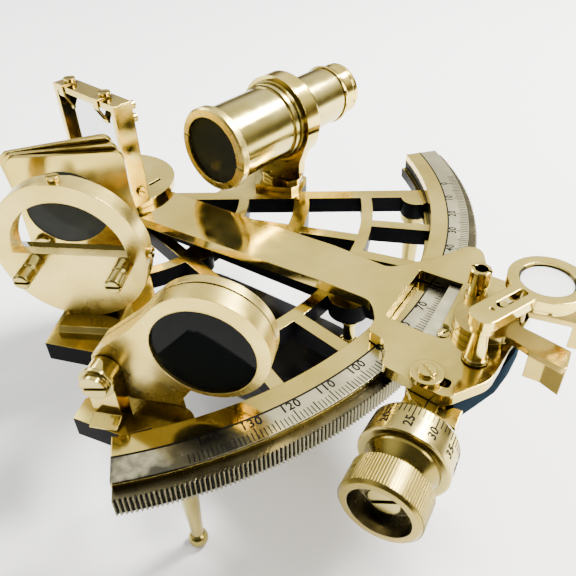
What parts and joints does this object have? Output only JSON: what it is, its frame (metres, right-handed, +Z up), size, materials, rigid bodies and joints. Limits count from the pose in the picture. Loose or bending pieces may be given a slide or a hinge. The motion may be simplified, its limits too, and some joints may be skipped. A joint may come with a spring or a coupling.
{
  "type": "sextant",
  "caption": "Hand-held measuring instrument for angles at sea: toothed arc and swinging index arm with micrometer drum, mirrors, swing-out dark shades and small telescope, on ball-footed legs.",
  "frame": {"origin": "on the surface that the legs stand on, under the middle of the outline seen from above", "axes": "+X from the index arm's pivot to the middle of the limb, +Y to the telescope's side, +Z up, away from the legs"},
  "size_m": [0.1975, 0.196, 0.1078],
  "materials": {
    "black_paint": "gloss black paint, upper faces left as polished brass",
    "polished_brass": "mirror polish under clear lacquer",
    "satin_brass": "fine turned, satin",
    "silver_scale": "satin silver with black figures",
    "black_grip": "gloss black",
    "slate_guard": "dark slate, half gloss",
    "mirror_glass": "silvered glass",
    "shade_glass": "near-black polished glass",
    "clear_glass": "clear polished glass"
  },
  "bodies": {
    "frame": {"frame_casting": "black_paint", "limb_plate": "polished_brass", "scale_arc": "silver_scale", "rack_arc": "satin_brass", "centre_bearing": "polished_brass", "legs": "polished_brass", "handle": "black_grip", "handle_posts": "polished_brass", "telescope_bracket": "polished_brass", "telescope_holder": "polished_brass", "telescope_tube": "polished_brass", "objective_ring": "polished_brass", "objective_lens": "clear_glass", "horizon_foot": "polished_brass", "horizon_holder": "polished_brass", "horizon_glass": "mirror_glass", "horizon_adjusters": "polished_brass", "horizon_screws": "satin_brass", "index_shade_post": "polished_brass", "index_shade_pin": "satin_brass", "horizon_shade_post": "polished_brass", "horizon_shade_pin": "satin_brass"},
    "eyepiece": {"eyepiece_tube": "polished_brass", "eyepiece_cap": "polished_brass", "eye_lens": "clear_glass"},
    "arm": {"index_arm": "polished_brass", "pivot_shaft": "satin_brass", "pivot_nut": "polished_brass", "mirror_base": "polished_brass", "index_mirror_frame": "polished_brass", "index_mirror_glass": "mirror_glass", "mirror_clips": "polished_brass", "mirror_screws": "satin_brass", "index_plate": "silver_scale", "arm_screws": "satin_brass", "worm_guard": "slate_guard", "fixed_lever": "polished_brass", "lever_seat": "polished_brass", "carriage_screw": "polished_brass", "socket_post": "polished_brass", "lens_pillar": "polished_brass"},
    "lever": {"release_lever": "polished_brass"},
    "carriage": {"worm_carriage": "polished_brass"},
    "micrometer": {"worm_shaft": "satin_brass", "micrometer_drum": "satin_brass", "micrometer_knob": "satin_brass", "knob_screw": "satin_brass"},
    "link": {"lens_link": "polished_brass"},
    "lens": {"magnifier": "polished_brass", "magnifier_lens": "clear_glass"},
    "index_shade_a": {"index_shade_1": "polished_brass", "index_glass_1": "shade_glass"},
    "index_shade_b": {"index_shade_2": "polished_brass", "index_glass_2": "shade_glass"},
    "index_shade_c": {"index_shade_3": "polished_brass", "index_glass_3": "shade_glass"},
    "horizon_shade_a": {"horizon_shade_front": "polished_brass", "ring_glass_front": "shade_glass"},
    "horizon_shade_b": {"horizon_shade_rear": "polished_brass", "ring_glass_rear": "shade_glass"}
  },
  "joints": [
    {"name": "arm_swing", "type": "hinge", "parent": "frame", "child": "arm", "pos_m": [-0.07725, -0.00487, 0.064], "axis": [0, 0, 1], "range_deg": [-24.25, 36.25]},
    {"name": "release_squeeze", "type": "hinge", "parent": "arm", "child": "lever", "pos_m": [0.06925, -0.00367, 0.066], "axis": [0, 0, 1], "range_deg": [0, 18], "stiffness_Nm_per_rad": 0.25, "springref_deg": -17.19},
    {"name": "carriage_swing", "type": "hinge", "parent": "arm", "child": "carriage", "pos_m": [0.06425, -0.02937, 0.061], "axis": [0, 0, 1], "range_deg": [-3.24, 0]},
    {"name": "drum_turn", "type": "hinge", "parent": "carriage", "child": "micrometer", "pos_m": [0.06192, 0.01123, 0.05635], "axis": [0.1149, -0.9934, 0], "continuous": true},
    {"name": "lens_turn", "type": "hinge", "parent": "arm", "child": "link", "pos_m": [0.07195, -0.01667, 0.077], "axis": [0, 0, 1], "range_deg": [-35, 50]},
    {"name": "lens_focus", "type": "slide", "parent": "link", "child": "lens", "axis": [0.3584, 0.9336, 0], "range_m": [-0.0048, 0.0012]},
    {"name": "eyepiece_focus", "type": "slide", "parent": "frame", "child": "eyepiece", "axis": [0.0854, 0.9963, 0], "range_m": [-0.004, 0.006]},
    {"name": "index_shade_a_swing", "type": "hinge", "parent": "frame", "child": "index_shade_a", "pos_m": [-0.06225, -0.04946, 0.0702], "axis": [0.6481, -0.7615, 0], "range_deg": [0, 95]},
    {"name": "index_shade_b_swing", "type": "hinge", "parent": "frame", "child": "index_shade_b", "pos_m": [-0.06225, -0.04946, 0.0702], "axis": [0.6481, -0.7615, 0], "range_deg": [-3.5, 90]},
    {"name": "index_shade_c_swing", "type": "hinge", "parent": "frame", "child": "index_shade_c", "pos_m": [-0.06225, -0.04946, 0.0702], "axis": [0.6481, -0.7615, 0], "range_deg": [-7, 88]},
    {"name": "horizon_shade_a_swing", "type": "hinge", "parent": "frame", "child": "horizon_shade_a", "pos_m": [-0.00081, -0.07672, 0.0722], "axis": [0.3907, -0.9205, 0], "range_deg": [0, 130]},
    {"name": "horizon_shade_b_swing", "type": "hinge", "parent": "frame", "child": "horizon_shade_b", "pos_m": [-0.00081, -0.07672, 0.0722], "axis": [0.3907, -0.9205, 0], "range_deg": [0, 130]}
  ],
  "couplings": [
    {"joint": "carriage_swing", "follows": "release_squeeze", "ratio": -0.18}
  ]
}
